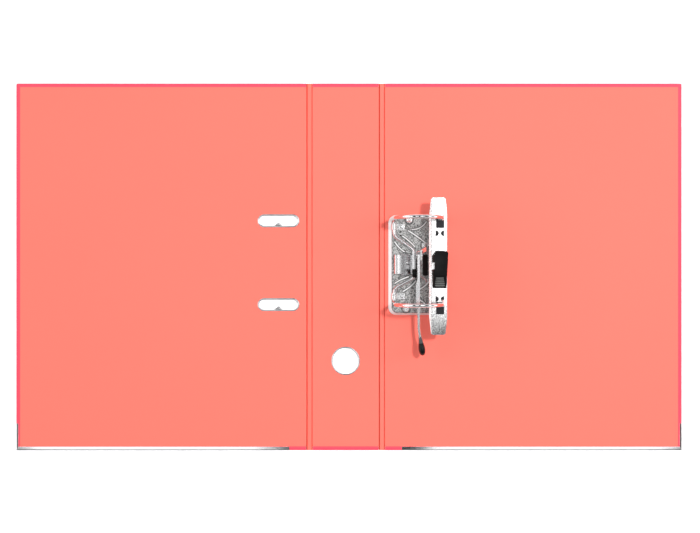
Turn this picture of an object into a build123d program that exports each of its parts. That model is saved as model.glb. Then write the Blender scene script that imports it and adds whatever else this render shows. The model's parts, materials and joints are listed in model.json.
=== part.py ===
"""Lever arch file, lying open and flat: two covers and a spine of wrapped board, hinged at two grooves,
with a lever arch mechanism and a sliding paper clamp on the back cover.

Frame: X across the open file (front cover at -X, back cover at +X), Y from the bottom edge (metal rails)
to the top edge, Z up. The origin is the centre of the footprint, on the surface the file lies on.
Sizes are in millimetres.
"""

import os
from math import cos, radians, sin, tan

from build123d import *

os.makedirs("parts", exist_ok=True)

# ---------------------------------------------------------------- driving dimensions
PANEL_HEIGHT = 350.0
FRONT_WIDTH = 276.5
SPINE_WIDTH = 62.7
BACK_WIDTH = 283.0
GROOVE_WIDTH = 6.4
RING_SPACING = 80.0  # the standard spacing of the two punched holes

# sheet thicknesses; the metal fittings are pressed into the wrap, flush with its outside
WRAP_T = 0.4
RAIL_T = 0.3
BOARD_T = 2.0
TURN_IN_T = 0.2
LINER_T = 0.3
LINER_INSET = 3.6
WEB_T = 0.6
CORNER_R = 1.2
OUTER_EDGE_R = 0.9
INNER_EDGE_R = 0.55

# ---------------------------------------------------------------- places worked out from them
HALF_SPAN = (FRONT_WIDTH + SPINE_WIDTH + BACK_WIDTH + 2 * GROOVE_WIDTH) / 2
Y_TOP = (PANEL_HEIGHT + RAIL_T) / 2
Y_BOTTOM = Y_TOP - PANEL_HEIGHT
Z_BOARD = WRAP_T
Z_BOARD_TOP = Z_BOARD + BOARD_T
Z_TURN_IN = Z_BOARD_TOP + TURN_IN_T
Z_FACE = Z_BOARD_TOP + LINER_T
Z_WEB = 0.5

FRONT_X = (-HALF_SPAN, -HALF_SPAN + FRONT_WIDTH)
SPINE_X = (FRONT_X[1] + GROOVE_WIDTH, FRONT_X[1] + GROOVE_WIDTH + SPINE_WIDTH)
BACK_X = (HALF_SPAN - BACK_WIDTH, HALF_SPAN)
FRONT_HINGE_X = FRONT_X[1] + GROOVE_WIDTH / 2
BACK_HINGE_X = BACK_X[0] - GROOVE_WIDTH / 2

# front cover's arch slots
SLOT_FROM_HINGE = 29.5
SLOT_X = FRONT_HINGE_X - SLOT_FROM_HINGE
SLOT_MID_Y = 4.0
SLOT_INNER_LENGTH = 36.6
SLOT_INNER_WIDTH = 9.4
SLOT_WALL = 0.4
SLOT_FLANGE = 1.8
TONGUE_WIDTH = 9.2
TONGUE_HEIGHT = 3.3

# spine's finger ring
RING_X = (SPINE_X[0] + SPINE_X[1]) / 2
RING_Y = -89.6
RING_BORE_R = 12.3
RING_WALL = 0.4
RING_FLANGE_R = 13.8

# metal edge rails
RAIL_LEG = 3.4
RAIL_SIDE_LEG = 1.9
RAIL_SIDE_RUN = 25.5
RAIL_STOP_FROM_GROOVE = 16.0

# arches: one bent wire
WIRE_R = 1.75
ARCH_MID_Y = 5.3
ARCH_UPPER_Y = ARCH_MID_Y + RING_SPACING / 2
ARCH_LOWER_Y = ARCH_MID_Y - RING_SPACING / 2
AXLE_X = BACK_HINGE_X + 11.7
AXLE_Z = 7.5
POST_X = BACK_HINGE_X + 54.0
TIP_Z = 44.1
SHOULDER_Z = 45.4
SIDE_ARC_R = 30.0
CROWN_ARC_R = 15.0
CRANK_X = AXLE_X + 18.6
CRANK_Z = 8.2
CRANK_UPPER_Y = 16.0
CRANK_LOWER_Y = -10.5
ARM_UPPER_Y = 29.5
ARM_LOWER_Y = -20.5

# base plate
PLATE_X = (37.5, 91.0)
PLATE_Y = (-45.8, 49.5)
PLATE_T = 0.8
PLATE_TOP = 5.5
PLATE_CORNER_R = 7.5
RIM_LEFT = 3.6
RIM_OTHER = 2.2
EMBOSS_T = 0.6
EMBOSS_ROOT = 0.3

# saddles that hold the axle
CLIP_UPPER_Y = 38.1
CLIP_LOWER_Y = -27.9
CLIP_WALL = 0.9
CLIP_WIDTH = 5.8

# fixed posts
POST_R = 1.9
POST_TOP = 44.0
POST_FOOT_R = 2.6
POST_FOOT_T = 0.9

# lever
PIVOT_Y = 10.5
PIVOT_Z = 20.0
PIVOT_R = 2.0
LEVER_X = 65.2
LEVER_T = 2.2
ROLLER_Y = PIVOT_Y - 16.5
ROLLER_R = 4.0
ROLLER_Z = CRANK_Z + WIRE_R + 0.1 + ROLLER_R
ROLLER_PIN_R = 1.3
RUNNING_GAP = 0.06
BRACKET_X = 66.8
BRACKET_T = 1.2

# paper clamp
CLAMP_TOP = 37.4
CLAMP_T = 1.0
CLAMP_X = (74.2, 91.1)
CLAMP_LIP_X = 76.3  # the top face ends here, and a lip slopes down towards the paper
CLAMP_MID_Y = 0.7
CLAMP_LENGTH = 127.2
CLAMP_FLANGE = 3.0
WINDOW_X = (80.6, 88.0)
WINDOW_BELOW_POST = 9.2
WINDOW_ABOVE_POST = 2.4
MOON_FROM_MIDDLE = 30.4
MOON_PAIR_X = 84.0
MOON_FLAT_OFFSET = 3.9
MOON_HALF_LENGTH = 2.4
MOON_DEPTH = 2.9
STRIP_X = (79.2, 88.9)
STRIP_Y = (-50.0, 51.5)
STRIP_T = 0.8
STRIP_GAP = 0.2
LATCH_PIN_Y = 9.0
LATCH_PIN_Z = CLAMP_TOP + 4.0
LATCH_PIN_R = 1.0


def save(shape, name):
    """Labels a finished piece and writes its STEP file."""
    shape.label = name
    export_step(shape, f"parts/{name}.step")


def block(x, y, z):
    """A box between two values on each axis, as a free-standing solid."""
    size = [b - a for a, b in (x, y, z)]
    place = [(a + b) / 2 for a, b in (x, y, z)]
    return Pos(*place) * Box(*size, mode=Mode.PRIVATE)


# ================================================================ panels
def panel_holes(holes, low, high):
    """Cuts (x, y, length, width) holes through the piece in hand; equal length and width make it round."""
    with BuildSketch(Plane.XY.offset(low)) as cut:
        for x, y, length, width in holes:
            with Locations((x, y)):
                if length == width:
                    Circle(width / 2)
                else:
                    SlotOverall(length, width)
    extrude(cut.sketch, amount=high - low, mode=Mode.SUBTRACT)


def make_panel(name, span, left_free, right_free, holes=(), seats=(), rail=None):
    """Core board, outer wrap with its turned-in border, and inner liner of one panel.

    The holes go through everything; the seats are shallow recesses in the outside for flush metal.
    """
    x0, x1 = span
    core_x = (x0 + WRAP_T * left_free, x1 - WRAP_T * right_free)
    core_y = (Y_BOTTOM + WRAP_T, Y_TOP - WRAP_T)
    window_x = (x0 + LINER_INSET * left_free, x1 - LINER_INSET * right_free)
    window_y = (Y_BOTTOM + LINER_INSET, Y_TOP - LINER_INSET)

    with BuildPart() as board:
        add(block(core_x, core_y, (Z_BOARD, Z_BOARD_TOP)))
        panel_holes(holes, Z_BOARD, Z_BOARD_TOP)
    save(board.part, f"{name}_board")

    with BuildPart() as wrap:
        add(block(span, (Y_BOTTOM, Y_TOP), (0, Z_TURN_IN)))
        free_x = [x for x, free in zip(span, (left_free, right_free)) if free]
        corners = [e for e in wrap.edges().filter_by(Axis.Z) if any(abs(e.center().X - x) < 0.1 for x in free_x)]
        if corners:
            fillet(corners, CORNER_R)
        hinge_x = [x for x, free in zip(span, (left_free, right_free)) if not free]
        for z, radius in ((0, OUTER_EDGE_R), (Z_TURN_IN, INNER_EDGE_R)):
            level = wrap.edges().filter_by_position(Axis.Z, z, z)
            fillet([e for e in level if all(abs(e.center().X - x) > 0.1 for x in hinge_x)], radius)
        cut_x = (core_x[0] - (not left_free), core_x[1] + (not right_free))
        add(block(cut_x, core_y, (Z_BOARD, Z_BOARD_TOP)), mode=Mode.SUBTRACT)
        cut_x = (window_x[0] - (not left_free), window_x[1] + (not right_free))
        add(block(cut_x, window_y, (Z_BOARD, Z_TURN_IN + 1)), mode=Mode.SUBTRACT)
        panel_holes(holes, 0, Z_BOARD)
        panel_holes(seats, 0, RAIL_T)
        if rail is not None:
            for x, y in rail_legs(*rail):
                add(block(x, y, (0, RAIL_T)), mode=Mode.SUBTRACT)
    save(wrap.part, f"{name}_wrap")

    with BuildPart() as liner:
        add(block(window_x, window_y, (Z_BOARD_TOP, Z_FACE)))
        lip_z = (Z_WEB + WEB_T, Z_FACE)
        if not left_free:
            add(block((x0 - LINER_T, x0), window_y, lip_z))
        if not right_free:
            add(block((x1, x1 + LINER_T), window_y, lip_z))
        panel_holes(holes, Z_BOARD_TOP, Z_FACE)
    save(liner.part, f"{name}_liner")


def make_hinge_web(name, x_mid):
    """The bare flexible skin in a groove, where outer wrap and liner are bonded together."""
    with BuildPart() as web:
        x = (x_mid - GROOVE_WIDTH / 2, x_mid + GROOVE_WIDTH / 2)
        add(block(x, (Y_BOTTOM, Y_TOP), (Z_WEB, Z_WEB + WEB_T)))
    save(web.part, name)


def rail_legs(x_outer, x_stop):
    """Plan areas of an edge rail: the run along the bottom edge and the short run up the side."""
    side = 1 if x_outer > 0 else -1
    outer = x_outer + side * RAIL_T
    y_outer = Y_BOTTOM - RAIL_T
    bottom_run = (sorted((x_stop, outer)), (y_outer, Y_BOTTOM + RAIL_LEG))
    side_run = (sorted((x_outer - side * RAIL_SIDE_LEG, outer)), (y_outer, Y_BOTTOM + RAIL_SIDE_RUN))
    return [bottom_run, side_run]


def make_edge_rail(name, x_outer, x_stop):
    """Folded metal channel on the bottom edge, turned round the outer corner and a short way up the side."""
    side = 1 if x_outer > 0 else -1
    far = -1 if side > 0 else 0
    with BuildPart() as inside:
        add(block(sorted((x_stop - side, x_outer)), (Y_BOTTOM, Y_TOP), (RAIL_T, Z_TURN_IN)))
        fillet(inside.edges().filter_by(Axis.Z).group_by(Axis.Y)[0].sort_by(Axis.X)[far], CORNER_R)
    with BuildPart() as rail:
        for x, y in rail_legs(x_outer, x_stop):
            add(block(x, y, (0, Z_TURN_IN + RAIL_T)))
        fillet(rail.edges().filter_by(Axis.Z).group_by(Axis.Y)[0].sort_by(Axis.X)[far], CORNER_R + RAIL_T)
        add(inside.part, mode=Mode.SUBTRACT)
    save(rail.part, name)


# ================================================================ fittings on the panels
def make_slot_eyelet(name, y):
    """Pressed oval eyelet that lines an arch slot, with a small catch tongue on its lower side."""
    inner = (SLOT_INNER_LENGTH, SLOT_INNER_WIDTH)
    barrel = [size + 2 * SLOT_WALL for size in inner]
    flange = [size + 2 * SLOT_FLANGE for size in inner]
    top = Z_FACE + 0.4
    with BuildPart() as eyelet:
        with BuildSketch(Plane.XY):
            with Locations((SLOT_X, y)):
                SlotOverall(*flange)
        extrude(amount=RAIL_T)
        with BuildSketch(Plane.XY.offset(Z_FACE)):
            with Locations((SLOT_X, y)):
                SlotOverall(*flange)
        extrude(amount=top - Z_FACE)
        chamfer(eyelet.edges().group_by(Axis.Z)[-1], 0.25)
        with BuildSketch(Plane.XY):
            with Locations((SLOT_X, y)):
                SlotOverall(*barrel)
        extrude(amount=Z_FACE)
        with BuildSketch(Plane.XY):
            with Locations((SLOT_X, y)):
                SlotOverall(*inner)
        extrude(amount=top, mode=Mode.SUBTRACT)
        foot = y - SLOT_INNER_WIDTH / 2 - SLOT_WALL / 2
        with BuildSketch(Plane.XY.offset(Z_FACE - 1.0)):
            with BuildLine():
                Polyline(
                    (SLOT_X - TONGUE_WIDTH / 2, foot),
                    (SLOT_X + TONGUE_WIDTH / 2, foot),
                    (SLOT_X + 0.8, foot + TONGUE_HEIGHT + SLOT_WALL / 2),
                    (SLOT_X - 0.8, foot + TONGUE_HEIGHT + SLOT_WALL / 2),
                    close=True,
                )
            make_face()
        extrude(amount=0.5)
    save(eyelet.part, name)


def make_finger_ring():
    """Rolled eyelet in the spine, for pulling the file off a shelf with one finger."""
    top = Z_FACE + 0.5
    with BuildPart() as ring:
        with BuildSketch(Plane.XZ):
            with BuildLine():
                Polyline(
                    (RING_BORE_R, 0),
                    (RING_FLANGE_R, 0),
                    (RING_FLANGE_R, RAIL_T),
                    (RING_BORE_R + RING_WALL, RAIL_T),
                    (RING_BORE_R + RING_WALL, Z_FACE),
                    (RING_FLANGE_R, Z_FACE),
                    (RING_FLANGE_R, Z_FACE + 0.15),
                    (RING_BORE_R + 0.6, top),
                    (RING_BORE_R, top),
                    close=True,
                )
            make_face()
        revolve(axis=Axis.Z)
    save(Pos(RING_X, RING_Y, 0) * ring.part, "finger_ring")


# ================================================================ base plate and what is fixed to it
RIVETS = [(57.2, 44.5), (54.0, -39.8), (80.5, 20.0), (80.5, -15.0)]
RIVET_SHANK_R = 2.0
RIVET_HEAD_R = 3.2
RIVET_FOOT_R = 4.5
BOSS_R = 4.9
BOSS_RISE = 0.5
RIB_WIDTH = 3.2
RIB_SLOPE = 48
# curved stiffening ribs, each given by its two ends and a point between them
RIBS = [
    ((43.6, 23.8), (47.0, 19.2), (52.4, 14.6)),
    ((51.0, 29.2), (57.6, 24.2), (62.6, 19.0)),
    ((56.5, 34.4), (66.6, 27.6), (75.4, 20.6)),
    ((60.0, 35.6), (68.0, 37.6), (73.4, 43.0)),
    ((43.6, -15.6), (49.4, -12.2), (56.6, -9.4)),
    ((51.4, -23.2), (58.6, -18.4), (63.4, -13.4)),
    ((66.2, -21.8), (71.4, -18.6), (76.0, -14.2)),
    ((66.8, -31.4), (70.6, -33.6), (73.0, -37.0)),
]
BRACKET_FEET = [(72.0, 20.6), (72.0, -13.5)]
FOOT_PAD = (6.4, 5.2)
FOOT_SIZE = (4.8, 3.6, 0.8)
PLATE_WINDOWS = [(61.5, 2.0), (72.6, 1.6)]
PLATE_WINDOW_SIZE = (5.0, 20.0)
PLATE_PIERCINGS = [(49.0, 33.3), (49.0, 29.8)]
PIERCING_R = 0.8
TRAY_WALL = 1.1
TRAY_EDGE_R = 0.6


def plate_tray(inset, height):
    """Solid of the tray's shape: a rounded foot rising along a sloping rim, widest on the left."""
    x0, x1 = PLATE_X[0] + inset, PLATE_X[1] - inset
    y0, y1 = PLATE_Y[0] + inset, PLATE_Y[1] - inset
    with BuildPart() as tray:
        with BuildSketch(Plane.XY.offset(Z_FACE)):
            with Locations(((x0 + x1) / 2, (y0 + y1) / 2)):
                RectangleRounded(x1 - x0, y1 - y0, PLATE_CORNER_R - inset)
        x0, x1 = x0 + RIM_LEFT, x1 - RIM_OTHER
        y0, y1 = y0 + RIM_OTHER, y1 - RIM_OTHER
        with BuildSketch(Plane.XY.offset(Z_FACE + height)):
            with Locations(((x0 + x1) / 2, (y0 + y1) / 2)):
                RectangleRounded(x1 - x0, y1 - y0, PLATE_CORNER_R - RIM_OTHER - inset)
        loft()
    return tray.part


def make_base_plate():
    """Pressed steel tray with a sloping rim, raised panels and two pierced windows under the lever."""
    rise = PLATE_TOP - Z_FACE
    tray = plate_tray(0, rise)
    hollow = plate_tray(TRAY_WALL, rise - PLATE_T)
    with BuildPart() as plate:
        add(tray)
        fillet(plate.edges().group_by(Axis.Z)[-1], TRAY_EDGE_R)
        # ribs, a pad under each foot of the lever's bracket, and a boss round each rivet
        for ends in RIBS:
            with BuildSketch(Plane.XY.offset(PLATE_TOP - EMBOSS_ROOT)):
                with BuildLine(mode=Mode.PRIVATE) as line:
                    ThreePointArc(*ends)
                SlotArc(arc=line.wire(), height=RIB_WIDTH)
            extrude(amount=EMBOSS_ROOT + EMBOSS_T, taper=RIB_SLOPE)
        with BuildSketch(Plane.XY.offset(PLATE_TOP - EMBOSS_ROOT)):
            with Locations(*BRACKET_FEET):
                RectangleRounded(*FOOT_PAD, 1.0)
        extrude(amount=EMBOSS_ROOT + EMBOSS_T, taper=20)
        for x, y in RIVETS:
            with BuildSketch(Plane.XY.offset(Z_FACE)):
                with Locations((x, y)):
                    Circle(BOSS_R)
            extrude(amount=rise + BOSS_RISE, taper=10)
        add(hollow, mode=Mode.SUBTRACT)
        # windows
        with BuildSketch(Plane.XY.offset(Z_FACE)) as windows:
            with Locations(*PLATE_WINDOWS):
                RectangleRounded(*PLATE_WINDOW_SIZE, 1.2)
            with Locations(*PLATE_PIERCINGS):
                Circle(PIERCING_R)
        extrude(amount=rise + 2, mode=Mode.SUBTRACT)
        # seats of the rivets and posts
        with BuildSketch(Plane.XY.offset(Z_FACE)):
            with Locations(*RIVETS):
                Circle(RIVET_SHANK_R)
            with Locations((POST_X, ARCH_UPPER_Y), (POST_X, ARCH_LOWER_Y)):
                Circle(POST_R)
        extrude(amount=rise + 2, mode=Mode.SUBTRACT)
    save(plate.part, "base_plate")


def make_rivets():
    """Four rivets that clamp the base plate to the back cover, with flat heads on the outside."""
    solids = []
    head_z = PLATE_TOP + BOSS_RISE
    for x, y in RIVETS:
        with BuildPart() as rivet:
            with BuildSketch(Plane.XY):
                Circle(RIVET_FOOT_R)
            extrude(amount=RAIL_T)
            with BuildSketch(Plane.XY):
                Circle(RIVET_SHANK_R)
            extrude(amount=head_z)
            with BuildSketch(Plane.XY.offset(head_z)):
                Circle(RIVET_HEAD_R)
            extrude(amount=0.9)
            fillet(rivet.edges().group_by(Axis.Z)[-1], 0.6)
            with BuildSketch(Plane.XY.offset(head_z + 0.4)):
                Circle(1.3)
            extrude(amount=1, mode=Mode.SUBTRACT)
        solids.append(Pos(x, y, 0) * rivet.part)
    save(Compound(children=solids), "base_rivets")


def make_post(name, y):
    """Fixed post that carries the punched sheets, riveted into the base plate, with a cone at its tip."""
    with BuildPart() as post:
        with BuildSketch(Plane.XY.offset(PLATE_TOP)):
            Circle(POST_FOOT_R)
        extrude(amount=POST_FOOT_T)
        with BuildSketch(Plane.XY.offset(Z_FACE + 0.6)):
            Circle(POST_R)
        extrude(amount=POST_TOP - Z_FACE - 0.6)
        chamfer(post.edges().group_by(Axis.Z)[-1], 0.35)
        with BuildSketch(Plane.XY.offset(POST_TOP)):
            Circle(1.2)
        extrude(amount=0.8, taper=50)
    save(Pos(POST_X, y, 0) * post.part, name)


def make_axle_clip(name, y_mid):
    """Saddle that holds the wire's axle down on the base plate, and still lets it turn."""
    inner, outer, width = WIRE_R + RUNNING_GAP, WIRE_R + 1.0, CLIP_WIDTH
    with BuildPart() as clip:
        with BuildSketch(Plane.XZ.offset(-y_mid - width / 2)):
            with Locations((AXLE_X, AXLE_Z)):
                Circle(outer)
            with Locations((AXLE_X, (AXLE_Z + PLATE_TOP) / 2)):
                Rectangle(2 * outer, AXLE_Z - PLATE_TOP)
            with Locations((AXLE_X + 5.0, PLATE_TOP + CLIP_WALL / 2)):
                Rectangle(10.0, CLIP_WALL)
            with Locations((AXLE_X, AXLE_Z)):
                Circle(inner, mode=Mode.SUBTRACT)
            with Locations((AXLE_X, (AXLE_Z + PLATE_TOP) / 2 - 1)):
                Rectangle(2 * inner, AXLE_Z - PLATE_TOP + 2, mode=Mode.SUBTRACT)
            with Locations((AXLE_X, PLATE_TOP - 2)):
                Rectangle(30, 4, mode=Mode.SUBTRACT)
        extrude(amount=width)
    save(clip.part, name)
    return (AXLE_X + 7.2, y_mid)


def make_clip_rivets(places):
    """Small button rivets on the feet of the two axle clips."""
    solids = []
    for x, y in places:
        with BuildPart() as rivet:
            with BuildSketch(Plane.XY.offset(PLATE_TOP + CLIP_WALL)):
                Circle(1.6)
            extrude(amount=0.7)
            fillet(rivet.edges().group_by(Axis.Z)[-1], 0.4)
        solids.append(Pos(x, y, 0) * rivet.part)
    save(Compound(children=solids), "clip_rivets")


def make_leaf_spring():
    """Hairpin leaf spring: its lower leg lies on the plate, its upper leg pushes the wire's crank up."""
    t, y0, y1 = 0.6, -6.6, 11.6
    bend_x, bend_r = 45.9, 3.2
    bend_z = PLATE_TOP + bend_r
    slope = radians(-20.0)
    top_in = (bend_x - (bend_r - t) * sin(slope), bend_z + (bend_r - t) * cos(slope))
    reach = 14.1
    end_in = (top_in[0] + reach * cos(slope), top_in[1] + reach * sin(slope))
    normal = (-sin(slope) * t, cos(slope) * t)
    top_out = (top_in[0] + normal[0], top_in[1] + normal[1])
    end_out = (end_in[0] + normal[0], end_in[1] + normal[1])
    with BuildPart() as spring:
        with BuildSketch(Plane.XZ.offset(-y1)):
            with BuildLine():
                Polyline((bend_x, PLATE_TOP), (54.5, PLATE_TOP), (54.5, PLATE_TOP + t), (bend_x, PLATE_TOP + t))
                ThreePointArc(
                    (bend_x, PLATE_TOP + t),
                    (bend_x - bend_r + t, bend_z),
                    top_in,
                )
                Polyline(top_in, end_in, end_out, top_out)
                ThreePointArc(top_out, (bend_x - bend_r, bend_z), (bend_x, PLATE_TOP))
            make_face()
        extrude(amount=y1 - y0)
        # stiffening flanges turned down along the sides of the upper leg
        depth = 1.7
        start = (51.0 - top_in[0]) / cos(slope)
        run_a = (top_in[0] + start * cos(slope), top_in[1] + start * sin(slope))
        run_b = (end_in[0] - 2.0 * cos(slope), end_in[1] - 2.0 * sin(slope))
        for y in (y1, y0 + t):
            with BuildSketch(Plane.XZ.offset(-y)):
                with BuildLine():
                    Polyline(
                        run_a,
                        run_b,
                        (run_b[0], run_b[1] - 0.25),
                        (run_a[0], run_a[1] - depth),
                        close=True,
                    )
                make_face()
            extrude(amount=t)
        # pressed dimple over the fixing point
        middle = Plane(
            origin=((top_out[0] + end_out[0]) / 2 + 1.8, (y0 + y1) / 2 + 1.2, (top_out[1] + end_out[1]) / 2 - 0.66),
            z_dir=(normal[0], 0, normal[1]),
        )
        with BuildSketch(middle):
            Circle(1.9)
        extrude(amount=0.45, taper=35)
    save(spring.part, "leaf_spring")


def make_lever_bracket():
    """Upright bracket for the lever's pivot: a wall across X with two wings that flare back to brace it."""
    y0, y1 = -8.5, 15.6
    x0, x1 = BRACKET_X, BRACKET_X + BRACKET_T
    wing = 5.2
    lean = tan(radians(35.0))
    with BuildPart() as bracket:
        with BuildSketch(Plane.XY.offset(PLATE_TOP)):
            with BuildLine():
                Polyline(
                    (x0, y0),
                    (x0, y1),
                    (x1 + wing, y1 + (wing + BRACKET_T) * lean),
                    (x1 + wing, y1 + (wing + BRACKET_T) * lean - 1.5),
                    (x1, y1 - 1.0),
                    (x1, y0 + 1.0),
                    (x1 + wing, y0 - (wing + BRACKET_T) * lean + 1.5),
                    (x1 + wing, y0 - (wing + BRACKET_T) * lean),
                    close=True,
                )
            make_face()
        extrude(amount=PIVOT_Z + 5.2 - PLATE_TOP)
        # side outline: high round the pivot, falling to a low step, and lower still on the wings
        with BuildSketch(Plane.YZ.offset(BRACKET_X - 1)):
            with BuildLine():
                Polyline(
                    (y0 - 8, PLATE_TOP + EMBOSS_T),
                    (y0, PLATE_TOP + EMBOSS_T),
                    (y0, PLATE_TOP),
                    (y1, PLATE_TOP),
                    (y1, PLATE_TOP + EMBOSS_T),
                    (y1 + 8, PLATE_TOP + EMBOSS_T),
                    (y1 + 8, PLATE_TOP + 7),
                    (y1, PLATE_TOP + 9),
                    (y1, PIVOT_Z + 5.2),
                    (PIVOT_Y - 4.5, PIVOT_Z + 5.2),
                    (PIVOT_Y - 10.0, PLATE_TOP + 10),
                    (y0, PLATE_TOP + 8),
                    (y0 - 8, PLATE_TOP + 6),
                    close=True,
                )
            make_face()
        extrude(amount=12, mode=Mode.INTERSECT)
        with BuildSketch(Plane.YZ.offset(BRACKET_X - 1)):
            with Locations((PIVOT_Y, PIVOT_Z)):
                Circle(PIVOT_R)
        extrude(amount=4, mode=Mode.SUBTRACT)
        # feet that lie on the base plate
        foot_x, foot_y, foot_t = FOOT_SIZE
        foot_z = (PLATE_TOP + EMBOSS_T, PLATE_TOP + EMBOSS_T + foot_t)
        for x, y in BRACKET_FEET:
            add(block((x - foot_x / 2, x + foot_x / 2), (y - foot_y / 2, y + foot_y / 2), foot_z))
    save(bracket.part, "lever_bracket")


# ================================================================ moving wire
def make_arch_wire():
    """Both arches, their axle and the crank between them, bent from one length of wire.

    Each arch is two upright legs joined by three arcs that meet without a corner.
    """
    foot_r, bend_r = 3.5, 7.0
    middle_x = (AXLE_X + POST_X) / 2
    half = (POST_X - AXLE_X) / 2
    crown_dz = ((SIDE_ARC_R - CROWN_ARC_R) ** 2 - (SIDE_ARC_R - half) ** 2) ** 0.5
    share = SIDE_ARC_R / (SIDE_ARC_R - CROWN_ARC_R)
    join_dx = (SIDE_ARC_R - half) * (share - 1)
    join_z = SHOULDER_Z + crown_dz * share
    crown_z = SHOULDER_Z + crown_dz + CROWN_ARC_R
    turn = radians(18.0)
    side_mid_dx = SIDE_ARC_R * cos(turn) - (SIDE_ARC_R - half)
    side_mid_z = SHOULDER_Z + SIDE_ARC_R * sin(turn)
    crank_points = [
        (AXLE_X, ARM_UPPER_Y, AXLE_Z),
        (CRANK_X, CRANK_UPPER_Y, CRANK_Z),
        (CRANK_X, CRANK_LOWER_Y, CRANK_Z),
        (AXLE_X, ARM_LOWER_Y, AXLE_Z),
    ]
    upper_foot = [(AXLE_X, ARCH_UPPER_Y, SHOULDER_Z), (AXLE_X, ARCH_UPPER_Y, AXLE_Z)]
    lower_foot = [(AXLE_X, ARCH_LOWER_Y, AXLE_Z), (AXLE_X, ARCH_LOWER_Y, SHOULDER_Z)]
    with BuildPart() as wire:
        with BuildLine() as path:
            for y in (ARCH_UPPER_Y, ARCH_LOWER_Y):
                Line((POST_X, y, TIP_Z), (POST_X, y, SHOULDER_Z))
                for side in (1, -1):
                    ThreePointArc(
                        (middle_x + side * half, y, SHOULDER_Z),
                        (middle_x + side * side_mid_dx, y, side_mid_z),
                        (middle_x + side * join_dx, y, join_z),
                    )
                ThreePointArc(
                    (middle_x + join_dx, y, join_z),
                    (middle_x, y, crown_z),
                    (middle_x - join_dx, y, join_z),
                )
            FilletPolyline(*upper_foot, *crank_points, *lower_foot, radius=[foot_r, *[bend_r] * 4, foot_r])
        with BuildSketch(Plane(origin=(POST_X, ARCH_UPPER_Y, TIP_Z), z_dir=(0, 0, 1))):
            Circle(WIRE_R)
        sweep(path=path.wires()[0])
        # a conical socket in each tip sits over the post's cone
        for y in (ARCH_UPPER_Y, ARCH_LOWER_Y):
            with BuildSketch(Plane.XY.offset(TIP_Z)):
                with Locations((POST_X, y)):
                    Circle(1.3)
            extrude(amount=0.85, taper=50, mode=Mode.SUBTRACT)
    save(wire.part, "arch_wire")


# ================================================================ lever
LEVER_BEND_Y = -58.0
LEVER_END_Y = -79.0
LEVER_BEND = radians(9.0)
LEVER_RISE = 0.03
LEVER_SWELL = 1.4  # the arm is thicker towards the wire, between these places
LEVER_SWELL_Y = (-41.0, -33.0, -16.0, -12.0)


def lever_z(y):
    """Height of the lever's centreline along its arm."""
    return PIVOT_Z + (PIVOT_Y - y) * LEVER_RISE


def make_lever():
    """Stamped lever: a hub on the pivot, a lobe for the roller, and a tapering arm bent aside at its end."""
    x0, x1 = LEVER_X - LEVER_T / 2, LEVER_X + LEVER_T / 2
    aside = (LEVER_BEND_Y - LEVER_END_Y) * tan(LEVER_BEND)
    with BuildPart() as lever:
        with BuildSketch(Plane.YZ.offset(x0 - LEVER_SWELL)):
            with Locations((PIVOT_Y, PIVOT_Z)):
                Circle(5.0)
            with BuildLine():
                Polyline(
                    (PIVOT_Y, PIVOT_Z + 5.0),
                    (PIVOT_Y - 4.0, PIVOT_Z - 4.0),
                    (ROLLER_Y - 2.6, ROLLER_Z - 1.8),
                    (ROLLER_Y - 12, lever_z(ROLLER_Y - 12) - 3.6),
                    (LEVER_BEND_Y, lever_z(LEVER_BEND_Y) - 2.8),
                    (LEVER_END_Y, lever_z(LEVER_END_Y) - 2.0),
                    (LEVER_END_Y, lever_z(LEVER_END_Y) + 2.0),
                    (LEVER_BEND_Y, lever_z(LEVER_BEND_Y) + 2.8),
                    (ROLLER_Y - 8, lever_z(ROLLER_Y - 8) + 4.4),
                    close=True,
                )
            make_face()
            with Locations((ROLLER_Y, ROLLER_Z)):
                Circle(3.2)
        extrude(amount=16)
        with BuildSketch(Plane.XY):
            with BuildLine():
                Polyline(
                    (x0, PIVOT_Y + 8),
                    (x1, PIVOT_Y + 8),
                    (x1, LEVER_BEND_Y),
                    (x1 + aside, LEVER_END_Y),
                    (x0 + aside, LEVER_END_Y),
                    (x0, LEVER_BEND_Y),
                    (x0, LEVER_SWELL_Y[0]),
                    (x0 - LEVER_SWELL, LEVER_SWELL_Y[1]),
                    (x0 - LEVER_SWELL, LEVER_SWELL_Y[2]),
                    (x0, LEVER_SWELL_Y[3]),
                    close=True,
                )
            make_face()
        extrude(amount=60, mode=Mode.INTERSECT)
        with BuildSketch(Plane.YZ.offset(x0 - 1)):
            with Locations((PIVOT_Y, PIVOT_Z)):
                Circle(PIVOT_R + RUNNING_GAP)
            with Locations((ROLLER_Y, ROLLER_Z)):
                Circle(ROLLER_PIN_R)
        extrude(amount=6, mode=Mode.SUBTRACT)
    save(lever.part, "lever_arm")


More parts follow.
